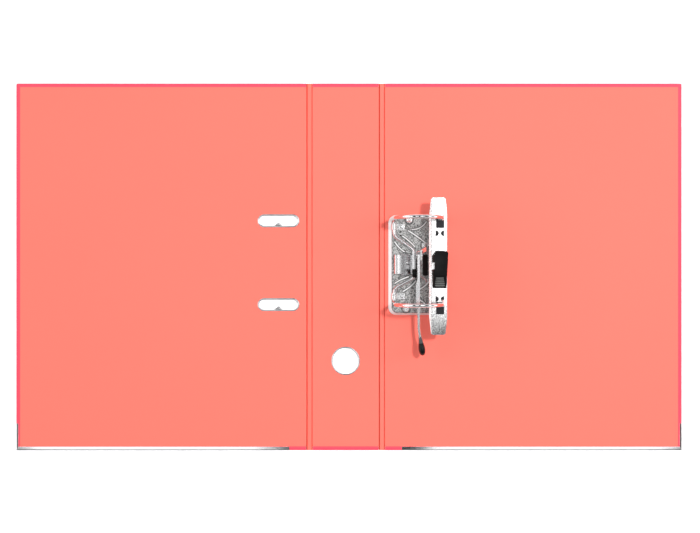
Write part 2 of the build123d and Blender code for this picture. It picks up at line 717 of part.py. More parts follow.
def make_lever_tip():
    """Dipped plastic finger tip on the lever's end."""
    length, wide, tall = 18.0, 5.8, 11.5
    start_y = LEVER_END_Y + 13.5
    aside = (LEVER_BEND_Y - start_y) * tan(LEVER_BEND)
    with BuildPart() as tip:
        stations = [(0.0, 0.58), (0.22, 0.86), (0.55, 1.0), (0.8, 0.93), (0.94, 0.66), (1.0, 0.38)]
        for share, size in stations:
            with BuildSketch(Plane.XZ.offset(share * length)):
                RectangleRounded(wide * size, tall * size, wide * size * 0.49)
        loft()
    placed = Pos(LEVER_X + aside, start_y, lever_z(start_y)) * Rot(0, 0, 9.0) * tip.part
    with BuildPart() as hollowed:
        add(placed)
        x0, x1 = LEVER_X - LEVER_T / 2, LEVER_X + LEVER_T / 2
        full = (LEVER_BEND_Y - LEVER_END_Y) * tan(LEVER_BEND)
        with BuildSketch(Plane.XY.offset(lever_z(LEVER_END_Y) - 3.2)):
            with BuildLine():
                Polyline(
                    (x0, LEVER_BEND_Y), (x1, LEVER_BEND_Y), (x1 + full, LEVER_END_Y), (x0 + full, LEVER_END_Y),
                    close=True,
                )
            make_face()
        extrude(amount=6.4, mode=Mode.SUBTRACT)
    save(hollowed.part, "lever_tip")


def rod_x(name, y, z, steps):
    """A turned pin along X from (x0, x1, radius) steps."""
    with BuildPart() as pin:
        for x0, x1, radius in steps:
            with BuildSketch(Plane.YZ.offset(x0)):
                with Locations((y, z)):
                    Circle(radius)
            extrude(amount=x1 - x0)
    save(pin.part, name)


def make_roller():
    """Plastic roller that runs on the wire's crank."""
    x0, x1 = 59.8, 63.7
    with BuildPart() as roller:
        with BuildSketch(Plane.YZ.offset(x0)):
            with Locations((ROLLER_Y, ROLLER_Z)):
                Circle(ROLLER_R)
        extrude(amount=x1 - x0)
        chamfer(roller.edges().filter_by(GeomType.CIRCLE), 0.4)
        with BuildSketch(Plane.YZ.offset(x0)):
            with Locations((ROLLER_Y, ROLLER_Z)):
                Circle(ROLLER_PIN_R + RUNNING_GAP)
        extrude(amount=x1 - x0, mode=Mode.SUBTRACT)
    save(roller.part, "roller")


# ================================================================ paper clamp
def clamp_plan(inset, height):
    """Solid over the bar's plan: parallel in the middle, tapering towards both ends."""
    half = CLAMP_LENGTH / 2 - inset
    x0, x1 = CLAMP_X[0] + inset, CLAMP_X[1] - inset
    taper = 1.8
    shoulder = half - 17.0
    y = CLAMP_MID_Y
    with BuildPart() as plan:
        with BuildSketch(Plane.XY.offset(CLAMP_TOP - CLAMP_FLANGE - 1)) as outline:
            with BuildLine():
                Polyline(
                    (x0, y - shoulder),
                    (x0 + taper, y - half),
                    (x1 - taper, y - half),
                    (x1, y - shoulder),
                    (x1, y + shoulder),
                    (x1 - taper, y + half),
                    (x0 + taper, y + half),
                    (x0, y + shoulder),
                    close=True,
                )
            make_face()
            fillet(outline.vertices(), 2.4 - inset)
        extrude(amount=height + 1)
    return plan.part


def clamp_section(inset):
    """Solid with the bar's cross-section: flat top, upright right side, and a sloping lip on the left."""
    bottom = CLAMP_TOP - CLAMP_FLANGE - 0.5 * inset
    x0, x1 = CLAMP_X[0] + 1.4 * inset, CLAMP_X[1] - inset
    with BuildPart() as section:
        with BuildSketch(Plane.XZ.offset(100)) as profile:
            with BuildLine():
                Polyline(
                    (x0, bottom),
                    (x0, CLAMP_TOP - CLAMP_FLANGE + 0.6 - 0.5 * inset),
                    (CLAMP_LIP_X + 0.5 * inset, CLAMP_TOP - inset),
                    (x1, CLAMP_TOP - inset),
                    (x1, bottom),
                    close=True,
                )
            make_face()
            if not inset:
                fillet(profile.vertices().group_by(Axis.Y)[-1], 1.0)
        extrude(amount=-200)
    return section.part


def make_clamp_bar():
    """Pressed bar with turned-down edges that slides on the posts and holds the paper down."""
    bottom = CLAMP_TOP - CLAMP_FLANGE
    outer = clamp_section(0) & clamp_plan(0, CLAMP_FLANGE)
    inner = clamp_section(CLAMP_T) & clamp_plan(CLAMP_T, CLAMP_FLANGE - CLAMP_T)
    with BuildPart() as bar:
        add(outer)
        add(inner, mode=Mode.SUBTRACT)
        with BuildSketch(Plane.XY.offset(bottom)) as openings:
            for post_y in (ARCH_UPPER_Y, ARCH_LOWER_Y):
                y0, y1 = post_y - WINDOW_BELOW_POST, post_y + WINDOW_ABOVE_POST
                with Locations(((WINDOW_X[0] + WINDOW_X[1]) / 2, (y0 + y1) / 2)):
                    RectangleRounded(WINDOW_X[1] - WINDOW_X[0], y1 - y0, 0.8)
            # paired half-moon piercings whose round sides face each other
            for y in (CLAMP_MID_Y + MOON_FROM_MIDDLE, CLAMP_MID_Y - MOON_FROM_MIDDLE):
                for side in (-1, 1):
                    flat_x = MOON_PAIR_X + side * MOON_FLAT_OFFSET
                    ends = (flat_x, y + MOON_HALF_LENGTH), (flat_x, y - MOON_HALF_LENGTH)
                    with BuildLine():
                        Line(*ends)
                        ThreePointArc(ends[0], (flat_x - side * MOON_DEPTH, y), ends[1])
                    make_face()
        extrude(amount=CLAMP_FLANGE, mode=Mode.SUBTRACT)
    save(bar.part, "clamp_bar")


def make_lock_strip():
    """Sliding strip under the bar whose window edges grip the posts."""
    top = CLAMP_TOP - CLAMP_T - STRIP_GAP
    with BuildPart() as strip:
        add(block(STRIP_X, STRIP_Y, (top - STRIP_T, top)))
        for post_y in (ARCH_UPPER_Y, ARCH_LOWER_Y):
            window = (post_y - POST_R - 0.15, post_y + POST_R + 2.3)
            add(block((82.4, WINDOW_X[1]), window, (top - 2, top + 1)), mode=Mode.SUBTRACT)
        fillet(strip.edges().filter_by(Axis.Z), 0.6)
    save(strip.part, "lock_strip")


def make_latch_bracket():
    """Small bracket on top of the bar with two ears for the latch's hinge pin."""
    ears = ((78.0, 78.8), (88.4, 89.2))
    with BuildPart() as bracket:
        add(block((78.0, 89.2), (3.0, 12.0), (CLAMP_TOP, CLAMP_TOP + 0.7)))
        for ear in ears:
            add(block(ear, (-1.6, 12.0), (CLAMP_TOP, CLAMP_TOP + 3.0)))
            add(block(ear, (6.2, 11.8), (CLAMP_TOP, LATCH_PIN_Z + 1.8)))
        with BuildSketch(Plane.YZ.offset(77)):
            with Locations((LATCH_PIN_Y, LATCH_PIN_Z)):
                Circle(LATCH_PIN_R)
        extrude(amount=14, mode=Mode.SUBTRACT)
    save(bracket.part, "latch_bracket")


def make_latch():
    """Black plastic latch lever: hinged near its upper end, with a ridged thumb grip at the lower end."""
    low, high = CLAMP_TOP + 1.5, CLAMP_TOP + 9.4
    end_low = low + 4.0
    y_top, y_bottom = 15.2, -19.5
    with BuildPart() as latch:
        with BuildSketch(Plane.XY.offset(low)) as plan:
            with BuildLine():
                Polyline(
                    (80.6, y_top),
                    (89.2, y_top),
                    (91.2, y_top - 2.2),
                    (89.5, y_bottom),
                    (77.7, y_bottom),
                    (77.2, y_top - 5.0),
                    close=True,
                )
            make_face()
            fillet(plan.vertices(), 0.7)
        extrude(amount=high - low)
        # side outline: rounded nose about the pin, flat back, sloping thumb grip
        with BuildSketch(Plane.YZ.offset(70)):
            with BuildLine():
                Polyline(
                    (y_bottom - 1, end_low),
                    (y_bottom - 1, high - 1.6),
                    (-9.0, high - 0.6),
                    (-7.5, high),
                    (LATCH_PIN_Y, high),
                )
                ThreePointArc(
                    (LATCH_PIN_Y, high),
                    (y_top - 0.4, LATCH_PIN_Z + 0.6),
                    (LATCH_PIN_Y + 1.0, low),
                )
                Polyline((LATCH_PIN_Y + 1.0, low), (5.0, low), (y_bottom - 1, end_low))
            make_face()
        extrude(amount=30, mode=Mode.INTERSECT)
        # room for the bracket's ears, and the notch that shows the left one
        add(block((77.6, 79.2), (-2.6, 15.5), (low - 1, high - 1.4)), mode=Mode.SUBTRACT)
        add(block((88.0, 89.6), (-2.6, 15.5), (low - 1, high - 1.4)), mode=Mode.SUBTRACT)
        add(block((76.0, 79.2), (-2.3, 4.0), (low - 1, high + 1)), mode=Mode.SUBTRACT)
        # grip ridges
        for row in range(5):
            y = -17.6 + row * 1.75
            add(block((78.9, 88.0), (y, y + 0.8), (high - 2.2, high + 2)), mode=Mode.SUBTRACT)
        with BuildSketch(Plane.YZ.offset(70)):
            with Locations((LATCH_PIN_Y, LATCH_PIN_Z)):
                Circle(LATCH_PIN_R + RUNNING_GAP)
        extrude(amount=30, mode=Mode.SUBTRACT)
    save(latch.part, "latch_lever")


# ================================================================ build everything
slot_hole = (SLOT_INNER_LENGTH + 2 * SLOT_WALL, SLOT_INNER_WIDTH + 2 * SLOT_WALL)
slot_seat = (SLOT_INNER_LENGTH + 2 * SLOT_FLANGE, SLOT_INNER_WIDTH + 2 * SLOT_FLANGE)
slot_ys = (SLOT_MID_Y + RING_SPACING / 2, SLOT_MID_Y - RING_SPACING / 2)
ring_hole = 2 * (RING_BORE_R + RING_WALL)
ring_seat = 2 * RING_FLANGE_R
front_rail = (-HALF_SPAN, FRONT_X[1] - RAIL_STOP_FROM_GROOVE)
back_rail = (HALF_SPAN, BACK_X[0] + RAIL_STOP_FROM_GROOVE)

make_panel(
    "front",
    FRONT_X,
    True,
    False,
    holes=[(SLOT_X, y, *slot_hole) for y in slot_ys],
    seats=[(SLOT_X, y, *slot_seat) for y in slot_ys],
    rail=front_rail,
)
make_panel(
    "spine",
    SPINE_X,
    False,
    False,
    holes=[(RING_X, RING_Y, ring_hole, ring_hole)],
    seats=[(RING_X, RING_Y, ring_seat, ring_seat)],
)
make_panel(
    "back",
    BACK_X,
    False,
    True,
    holes=[(x, y, 2 * RIVET_SHANK_R, 2 * RIVET_SHANK_R) for x, y in RIVETS],
    seats=[(x, y, 2 * RIVET_FOOT_R, 2 * RIVET_FOOT_R) for x, y in RIVETS],
    rail=back_rail,
)
make_hinge_web("front_hinge_web", FRONT_HINGE_X)
make_hinge_web("back_hinge_web", BACK_HINGE_X)
make_edge_rail("front_edge_rail", *front_rail)
make_edge_rail("back_edge_rail", *back_rail)
make_slot_eyelet("slot_eyelet_upper", slot_ys[0])
make_slot_eyelet("slot_eyelet_lower", slot_ys[1])
make_finger_ring()

make_base_plate()
make_rivets()
make_post("post_upper", ARCH_UPPER_Y)
make_post("post_lower", ARCH_LOWER_Y)
clip_feet = [
    make_axle_clip("axle_clip_upper", CLIP_UPPER_Y),
    make_axle_clip("axle_clip_lower", CLIP_LOWER_Y),
]
make_clip_rivets(clip_feet)
make_leaf_spring()
make_lever_bracket()

make_arch_wire()

make_lever()
make_lever_tip()
rod_x("lever_pivot", PIVOT_Y, PIVOT_Z, [(63.1, 64.0, 3.4), (64.0, 68.0, PIVOT_R), (68.0, 68.9, 3.4)])
rod_x("roller_pin", ROLLER_Y, ROLLER_Z, [(58.9, 59.6, 2.2), (59.6, 66.3, ROLLER_PIN_R)])
make_roller()

make_clamp_bar()
make_lock_strip()
make_latch_bracket()
make_latch()
rod_x("latch_pin", LATCH_PIN_Y, LATCH_PIN_Z, [(77.6, 89.6, LATCH_PIN_R)])
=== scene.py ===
"""Looks of an open lever arch file: coral covers with a linen emboss, plated mechanism, black plastics."""

import json
import math

import bmesh
import bpy
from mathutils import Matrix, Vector


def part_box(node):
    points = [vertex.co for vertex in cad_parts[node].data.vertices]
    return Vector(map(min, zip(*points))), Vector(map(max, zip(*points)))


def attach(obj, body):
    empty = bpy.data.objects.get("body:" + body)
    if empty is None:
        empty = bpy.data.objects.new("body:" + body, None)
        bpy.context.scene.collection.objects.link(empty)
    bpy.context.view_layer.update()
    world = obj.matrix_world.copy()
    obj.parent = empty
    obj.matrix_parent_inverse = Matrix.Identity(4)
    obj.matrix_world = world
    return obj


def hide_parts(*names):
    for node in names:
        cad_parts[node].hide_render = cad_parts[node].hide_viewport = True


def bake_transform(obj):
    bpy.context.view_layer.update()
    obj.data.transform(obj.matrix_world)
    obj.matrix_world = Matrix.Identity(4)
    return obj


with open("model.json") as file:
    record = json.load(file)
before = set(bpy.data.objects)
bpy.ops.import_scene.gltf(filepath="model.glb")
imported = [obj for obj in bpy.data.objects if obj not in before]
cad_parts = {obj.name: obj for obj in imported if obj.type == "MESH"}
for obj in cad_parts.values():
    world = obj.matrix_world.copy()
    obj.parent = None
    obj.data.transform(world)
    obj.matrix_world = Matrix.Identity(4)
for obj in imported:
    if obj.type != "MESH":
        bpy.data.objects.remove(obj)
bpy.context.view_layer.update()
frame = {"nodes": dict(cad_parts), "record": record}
NODES = frame["nodes"]
MM = 0.001
SPECKLE_PER_METRE = 1250
RIB_HEIGHT = 0.6 * MM

# ---------------------------------------------------------------- camera
PICTURE_SPAN = 667.94 * MM  # how much of the covers the picture is wide
SENSOR_WIDTH = 36.0
CAMERA_HEIGHT = 1.145
FACE_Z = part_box("back_liner")[1].z

camera = bpy.data.objects.new("camera", bpy.data.cameras.new("camera"))
bpy.context.scene.collection.objects.link(camera)
camera.location = (0.9 * MM, 0.4 * MM, FACE_Z + CAMERA_HEIGHT)
camera.data.sensor_width = SENSOR_WIDTH
camera.data.lens = SENSOR_WIDTH * CAMERA_HEIGHT / PICTURE_SPAN
camera.data.clip_end = 10.0
bpy.context.scene.camera = camera


# ---------------------------------------------------------------- node helpers
class Shader:
    """One material, with short calls for the nodes it is built from."""

    def __init__(self, name):
        self.material = bpy.data.materials.new(name)
        self.material.use_nodes = True
        self.tree = self.material.node_tree
        self.bsdf = self.tree.nodes["Principled BSDF"]
        self.place = self.node("ShaderNodeTexCoord").outputs["Object"]

    def node(self, kind, **values):
        made = self.tree.nodes.new(kind)
        for key, value in values.items():
            setattr(made, key, value)
        return made

    def link(self, source, target):
        self.tree.links.new(source, target)

    def feed(self, socket, value):
        if hasattr(value, "is_linked") or isinstance(value, bpy.types.NodeSocket):
            self.link(value, socket)
        else:
            socket.default_value = value

    def set(self, **values):
        """Sets the shader's own sockets: underscores stand for spaces."""
        for key, value in values.items():
            self.feed(self.bsdf.inputs[key.replace("_", " ")], value)

    def noise(self, scale, detail=3.0, roughness=0.5, place=None):
        made = self.node("ShaderNodeTexNoise")
        made.inputs["Scale"].default_value = scale
        made.inputs["Detail"].default_value = detail
        made.inputs["Roughness"].default_value = roughness
        self.link(place or self.place, made.inputs["Vector"])
        return made.outputs["Fac"]

    def stretched(self, x, y, z):
        made = self.node("ShaderNodeMapping")
        made.inputs["Scale"].default_value = (x, y, z)
        self.link(self.place, made.inputs["Vector"])
        return made.outputs["Vector"]

    def math(self, operation, a, b=0.0):
        made = self.node("ShaderNodeMath", operation=operation)
        self.feed(made.inputs[0], a)
        self.feed(made.inputs[1], b)
        return made.outputs[0]

    def ramp(self, source, low, high, out_low=0.0, out_high=1.0):
        made = self.node("ShaderNodeMapRange")
        made.inputs["From Min"].default_value = low
        made.inputs["From Max"].default_value = high
        made.inputs["To Min"].default_value = out_low
        made.inputs["To Max"].default_value = out_high
        self.link(source, made.inputs["Value"])
        return made.outputs["Result"]

    def grains(self):
        """Crystal facets of uneven brightness, from 0 to 1."""
        cells = self.node("ShaderNodeTexVoronoi", feature="F1")
        cells.inputs["Scale"].default_value = SPECKLE_PER_METRE
        self.link(self.place, cells.inputs["Vector"])
        return self.ramp(cells.outputs["Color"], 0.15, 0.85)

    def orange_peel(self):
        return self.noise(SPECKLE_PER_METRE * 0.8, 2.0, 0.5)

    def axes(self):
        """The place's X, Y and Z, each by itself."""
        split = self.node("ShaderNodeSeparateXYZ")
        self.link(self.place, split.inputs[0])
        return split.outputs

    def stored(self, name):
        """A value that the mesh carries under this name."""
        return self.node("ShaderNodeAttribute", attribute_name=name).outputs["Fac"]

    def mix(self, factor, a, b):
        made = self.node("ShaderNodeMix", data_type="RGBA")
        self.feed(made.inputs[0], factor)
        for socket, value in ((made.inputs[6], a), (made.inputs[7], b)):
            self.feed(socket, value if hasattr(value, "links") else (*value, 1.0))
        return made.outputs[2]

    def bump(self, height, strength, distance, edge=0.0):
        """Surface relief, over edges softened by a small radius where edge is given."""
        made = self.node("ShaderNodeBump")
        if edge:
            bevel = self.node("ShaderNodeBevel", samples=6)
            bevel.inputs["Radius"].default_value = edge
            self.link(bevel.outputs["Normal"], made.inputs["Normal"])
        made.inputs["Strength"].default_value = strength
        made.inputs["Distance"].default_value = distance
        self.link(height, made.inputs["Height"])
        self.link(made.outputs["Normal"], self.bsdf.inputs["Normal"])


def linear(red, green, blue):
    """sRGB values from 0 to 255 as a linear colour."""
    out = []
    for value in (red, green, blue):
        share = value / 255
        out.append(share / 12.92 if share <= 0.04045 else ((share + 0.055) / 1.055) ** 2.4)
    return tuple(out)


def threads(shader, pitch):
    """Fine crossed threads of uneven thickness, as an emboss height from 0 to 1."""
    count = 2 * math.pi / pitch
    heights = []
    for axis, stretch in (("X", (1, 0.04, 1)), ("Y", (0.04, 1, 1))):
        wobble = shader.noise(1400, 2.0, 0.6, shader.stretched(*stretch))
        wave = shader.node("ShaderNodeTexWave", bands_direction=axis, wave_profile="SIN")
        wave.inputs["Scale"].default_value = count / 20
        wave.inputs["Distortion"].default_value = 0.0
        shader.link(shader.place, wave.inputs["Vector"])
        heights.append(shader.math("MULTIPLY", wave.outputs["Fac"], wobble))
    return shader.math("MAXIMUM", *heights)


def painted_shade_under(shader, node, inset):
    """Mask for painted shade: 1 on whatever lies below a node's outline, fading to 0 over the inset along its
    border.
    """
    low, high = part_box(node)
    axes = shader.axes()
    share = 1.0
    for axis, first, last in ((0, low.x, high.x), (1, low.y, high.y)):
        rise = shader.ramp(axes[axis], first, first + inset)
        fall = shader.ramp(axes[axis], last - inset, last, 1.0, 0.0)
        share = shader.math("MULTIPLY", shader.math("MULTIPLY", rise, fall), share)
    return share


def cover_material(name, colour, dark, roughness, pitch=0.9 * MM, depth=0.05 * MM, below=None):
    """Embossed cover paper or film: linen threads, a faint cloudiness, painted shade darkening the emboss's
    valleys, and painted shade under a given node's outline.
    """
    shader = Shader(name)
    linen = threads(shader, pitch)
    cloud = shader.ramp(shader.noise(9, 4.0), 0.3, 0.7)
    base = shader.mix(cloud, colour, [c * 0.985 for c in colour])
    # painted shade: the emboss's valleys are mixed towards the darker colour
    base = shader.mix(shader.ramp(linen, 0.05, 0.4, 0.35, 0.0), base, dark)
    # painted shade: the cover under the given node's outline is darkened nearly to black
    if below:
        base = shader.mix(painted_shade_under(shader, below, 4 * MM), base, (0.02, 0.012, 0.012))
    shader.set(Base_Color=base, Roughness=roughness)
    shader.set(Specular_IOR_Level=0.35)
    shader.bump(linen, 0.35, depth)
    return shader.material


STREAK_RELIEF = 0.15


def plated(name, colour, roughness, speckle=0.0, orange_peel=0.0, streaks=0.04):
    """Plated steel: drawn streaks, crystalline speckle where asked, and faintly uneven metal."""
    shader = Shader(name)
    streak = shader.noise(420, 4.0, 0.65, shader.stretched(1, 0.07, 1))
    smudge = shader.ramp(shader.noise(45, 3.0), 0.35, 0.7, 0.0, 0.05)
    rough = shader.math("ADD", shader.ramp(streak, 0.35, 0.75, 0.0, streaks), roughness)
    rough = shader.math("ADD", rough, smudge)
    base = (*colour, 1.0)
    if speckle:
        dark = [c * (1 - speckle) for c in colour]
        light = [min(1, c * (1 + speckle)) for c in colour]
        base = shader.mix(shader.grains(), dark, light)
    shader.set(Base_Color=base, Metallic=1.0, Roughness=rough)
    peel = shader.math("MULTIPLY", shader.orange_peel(), orange_peel)
    height = shader.math("ADD", shader.math("MULTIPLY", streak, STREAK_RELIEF), peel)
    shader.bump(height, 0.5, 0.05 * MM, edge=0.2 * MM)
    return shader.material


def zinc_plate(name):
    """Satin zinc with a crystalline speckle, painted highlights on rim and rib tops, and painted shade in the
    creases beside them.
    """
    shader = Shader(name)
    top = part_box("base_plate")[1].z - RIB_HEIGHT
    base = shader.mix(shader.grains(), (0.07, 0.07, 0.07), (0.62, 0.62, 0.61))
    z = shader.axes()["Z"]
    # painted highlight: rib tops and the rim are lightened to near white; the same mask also makes them
    # rougher
    rib_top = shader.ramp(z, top + 0.50 * MM, top + 0.56 * MM)
    rim = shader.ramp(z, top - 0.55 * MM, top - 0.35 * MM, 1.0, 0.0)
    painted_highlight = shader.math("MAXIMUM", rib_top, rim)
    # painted shade: the rib flanks and the seam along the rim's fillet are darkened nearly to black
    flank_shade = shader.math("MULTIPLY", shader.ramp(z, top + 0.02 * MM, top + 0.05 * MM),
                        shader.ramp(z, top + 0.48 * MM, top + 0.54 * MM, 1.0, 0.0))
    seam_shade = shader.math("MULTIPLY", shader.ramp(z, top - 0.38 * MM, top - 0.28 * MM),
                       shader.ramp(z, top - 0.12 * MM, top - 0.04 * MM, 1.0, 0.0))
    base = shader.mix(shader.math("MAXIMUM", flank_shade, seam_shade), base, (0.02, 0.02, 0.02))
    shader.set(Base_Color=shader.mix(painted_highlight, base, (0.86, 0.86, 0.86)))
    shader.set(Metallic=0.55, Roughness=shader.ramp(painted_highlight, 0.0, 1.0, 0.32, 0.5))
    shader.bump(shader.orange_peel(), 0.4, 0.04 * MM, edge=0.15 * MM)
    return shader.material


def hinge_material(name, colour, deep, outer):
    """Liner paper over the groove with painted shade darkening its creases, and the wrap's film on the
    outside.

    The mesh carries both as values of its own: depth, which drives the painted crease shade, and outside.
    """
    shader = Shader(name)
    linen = threads(shader, 0.9 * MM)
    # painted shade: the creases are mixed towards the deep colour by the stored depth
    inner = shader.mix(shader.stored("depth"), colour, deep)
    shader.set(Base_Color=shader.mix(shader.stored("outside"), inner, outer), Roughness=0.6)
    shader.set(Specular_IOR_Level=0.3)
    shader.bump(linen, 0.3, 0.05 * MM)
    return shader.material


def plastic(name, colour, roughness, grain, gloss):
    """Moulded black plastic with a spark-eroded grain and slightly paler rubbed spots."""
    shader = Shader(name)
    fine = shader.noise(2200, 3.0, 0.6)
    rubbed = shader.ramp(shader.noise(60, 3.0), 0.45, 0.75)
    base = shader.mix(rubbed, colour, [c * 1.5 + 0.004 for c in colour])
    shader.set(Base_Color=base, Roughness=shader.ramp(fine, 0.3, 0.7, roughness - 0.06, roughness + 0.08))
    shader.set(Specular_IOR_Level=gloss)
    shader.bump(fine, grain, 0.03 * MM, edge=0.3 * MM)
    return shader.material


LINER = linear(243, 112, 98)
WRAP = linear(228, 72, 92)
materials = {
    # the liner carries painted shade under the base plate
    "liner": cover_material("liner_paper", LINER, [c * 0.9 for c in LINER], 0.62, below="base_plate"),
    "wrap": cover_material("wrap_film", WRAP, [c * 0.88 for c in WRAP], 0.42),
    # the third colour is the painted shade in the hinge creases
    "hinge": hinge_material("hinge_skin", LINER, (0.62, 0.045, 0.015), WRAP),
    "board": cover_material("grey_board", (0.42, 0.38, 0.32), (0.3, 0.27, 0.22), 0.85),
    "rail": plated("rail_nickel", (0.84, 0.84, 0.85), 0.06),
    "wire": plated("wire_nickel", (0.84, 0.84, 0.85), 0.04),
    "plate": zinc_plate("satin_zinc"),
    "bright_steel": plated("bright_nickel", (0.80, 0.80, 0.81), 0.08, speckle=0.25, orange_peel=0.2),
    "lever_steel": plated("lever_nickel", (0.72, 0.72, 0.73), 0.2, streaks=0.02),
    "tip_plastic": plastic("tip_coating", (0.004, 0.004, 0.004), 0.2, 0.1, 0.25),
    "black_plastic": plastic("latch_moulding", (0.006, 0.006, 0.006), 0.5, 0.4, 0.07),
    # painted shade: the lock strip is near black so the clamp's windows over it look shaded
    "strip_steel": plated("strip_dark_as_shade", (0.05, 0.05, 0.055), 0.35),
    # painted highlight: the neck's coating is dark grey rather than black, standing for the sheen on the
    # glossy dip
    "tip_neck": plastic("tip_coating_painted_sheen", (0.06, 0.06, 0.06), 0.3, 0.1, 0.3),
    "pad": plastic("thumb_pad_grey", (0.13, 0.135, 0.13), 0.55, 0.4, 0.1),
    "roller_plastic": plastic("roller_moulding", (0.005, 0.005, 0.005), 0.3, 0.2, 0.1),
}
slots = {entry["node"]: entry["material_slot"] for entry in frame["record"]["subparts"]}
for name, obj in NODES.items():
    obj.data.materials.clear()
    obj.data.materials.append(materials[slots[name]])


# ---------------------------------------------------------------- mesh helpers
def add_mesh(name, verts, faces, material, smooth=True):
    """New object from points and faces, with its faces turned outwards."""
    mesh = bpy.data.meshes.new(name)
    mesh.from_pydata(verts, [], faces)
    form = bmesh.new()
    form.from_mesh(mesh)
    bmesh.ops.recalc_face_normals(form, faces=form.faces)
    form.to_mesh(mesh)
    form.free()
    obj = bpy.data.objects.new(name, mesh)
    bpy.context.scene.collection.objects.link(obj)
    mesh.materials.append(material)
    for face in mesh.polygons:
        face.use_smooth = smooth
    return obj


def sharpen(obj, degrees):
    """Keeps smooth shading, except across edges sharper than the given angle."""
    obj.data.set_sharp_from_angle(angle=math.radians(degrees))


def skin_rings(rings, loop=False):
    """Points and faces of a form through equal rings of points; a loop joins its last ring to its first."""
    count = len(rings[0])
    verts = [point for ring in rings for point in ring]
    faces = []
    for row in range(len(rings) if loop else len(rings) - 1):
        near, far = row * count, (row + 1) % len(rings) * count
        for column in range(count):
            ahead = (column + 1) % count
            faces.append((near + column, near + ahead, far + ahead, far + column))
    if not loop:
        faces.append(tuple(range(count)))
        faces.append(tuple(range(len(verts) - count, len(verts))))
    return verts, faces


def merged(*forms):
    """Several (points, faces) forms as one."""
    verts, faces = [], []
    for more_verts, more_faces in forms:
        faces += [tuple(index + len(verts) for index in face) for face in more_faces]
        verts += more_verts
    return verts, faces


def stand_for(piece, node, smooth_angle=40):
    """Puts a piece in place of one CAD node, on that node's body, and hides the node."""
    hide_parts(node)
    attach(piece, body_of[node])
    sharpen(piece, smooth_angle)


body_of = {node: body for body, nodes in frame["record"]["behaviour"]["bodies"].items() for node in nodes}


def smoothstep(t):
    t = min(1.0, max(0.0, t))
    return t * t * (3 - 2 * t)


# ---------------------------------------------------------------- soft hinges
GROOVE_SINK = 0.75 * MM  # from the covers' face down to the floor of the groove
CREASE_SHADE_FADE = 0.9 * MM  # how far below that floor the painted crease shade is at its darkest
SHOULDER = 0.55 * MM


def groove_height(x, left, right, top):
    """Height of the hinge's inside skin: a deep crease on the left, a shallow one on the right."""
    plateau = top - GROOVE_SINK
    # (middle, half width, depth)
    creases = ((left + 0.75 * MM, 0.62 * MM, 1.35 * MM), (right - 0.7 * MM, 0.5 * MM, 0.7 * MM))
    height = plateau
    for middle, half, depth in creases:
        reach = abs(x - middle) / half
        if reach < 1:
            height -= depth * (0.5 + 0.5 * math.cos(math.pi * reach))
    for inward in (x - left, right - x):
        height += (top - 0.15 * MM - plateau) * (1 - smoothstep(inward / SHOULDER))
    return height


def hinge_skin(name, web, columns=72, rows=60):
    """Closed thin skin over the groove: creased on the inside, gently sunk on the outside."""
    low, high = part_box(web)
    left, right = low.x, high.x
    clear, margin = 0.28 * MM, 0.05 * MM
    x0, x1 = left + clear, right - clear
    shares = [column / columns for column in range(columns + 1)]
    rings = []
    for row in range(rows + 1):
        y = low.y + margin + (high.y - low.y - 2 * margin) * row / rows
        waver = 0.05 * MM * math.sin(y * 41) * math.sin(y * 17 + 1)
        inside, outside = [], []
        for t in shares:
            x = x0 + (x1 - x0) * t
            inside.append((x, y, groove_height(x + waver, left, right, FACE_Z)))
            outside.append((x, y, low.z - 0.12 * MM + 0.25 * MM * math.sin(math.pi * t) ** 2))
        rings.append(inside + outside[::-1])
    skin = add_mesh(name, *skin_rings(rings), materials["hinge"])
    sharpen(skin, 60)
    for layer in ("depth", "outside"):
        skin.data.attributes.new(layer, "FLOAT", "POINT")
    depth, behind = skin.data.attributes["depth"], skin.data.attributes["outside"]
    for vertex in skin.data.vertices:
        inside = vertex.index % (2 * columns + 2) <= columns
        # depth drives the painted crease shade: 0 on the groove floor, 1 where the crease is darkest
        below = FACE_Z - GROOVE_SINK - vertex.co.z
        depth.data[vertex.index].value = smoothstep(below / CREASE_SHADE_FADE) if inside else 0.0
        behind.data[vertex.index].value = 0.0 if inside else 1.0
    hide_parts(web)
    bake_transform(skin)


hinge_skin("front_hinge_skin", "front_hinge_web")
hinge_skin("back_hinge_skin", "back_hinge_web")


# ---------------------------------------------------------------- rolled eyelets
WALL = 0.4 * MM
SEAT = 0.3 * MM


def rolled_profile(flange, dome, base):
    """Section of a rolled eyelet as (distance outside the bore, height) points, round the whole section."""
    skirt = flange - 0.1 * MM
    under = [(0.3 * MM, 0), (skirt, 0), (skirt, SEAT - 0.02 * MM), (WALL, SEAT), (WALL, base)]
    steps = 12
    roll = []
    for step in range(steps + 1):
        turn = math.pi * step / steps
        roll.append((flange * (0.5 + 0.5 * math.cos(turn)), base + dome * math.sin(turn)))
    throat = [(0, base * share) for share in (0.75, 0.5, 0.25)] + [(0.08 * MM, 0.1 * MM)]
    return under + roll + throat


def stadium(length, width, arc_steps=20):
    """(point, outward direction) stations round a slot with round ends; equal sides give a circle."""
    half = (length - width) / 2
    stations = []
    for centre, first in ((half, -90), (-half, 90)):
        for step in range(arc_steps + 1):
            turn = math.radians(first + 180 * step / arc_steps)
            out = (math.cos(turn), math.sin(turn))
            stations.append(((centre + out[0] * width / 2, out[1] * width / 2), out))
    if half == 0:
        del stations[arc_steps], stations[-1]
    return stations


def rolled_eyelet(centre, length, width, flange, dome, arc_steps=20):
    profile = rolled_profile(flange, dome, FACE_Z)
    rings = []
    for (px, py), (ox, oy) in stadium(length, width, arc_steps):
        rings.append([(centre[0] + px + ox * out, centre[1] + py + oy * out, z) for out, z in profile])
    return skin_rings(rings, loop=True)


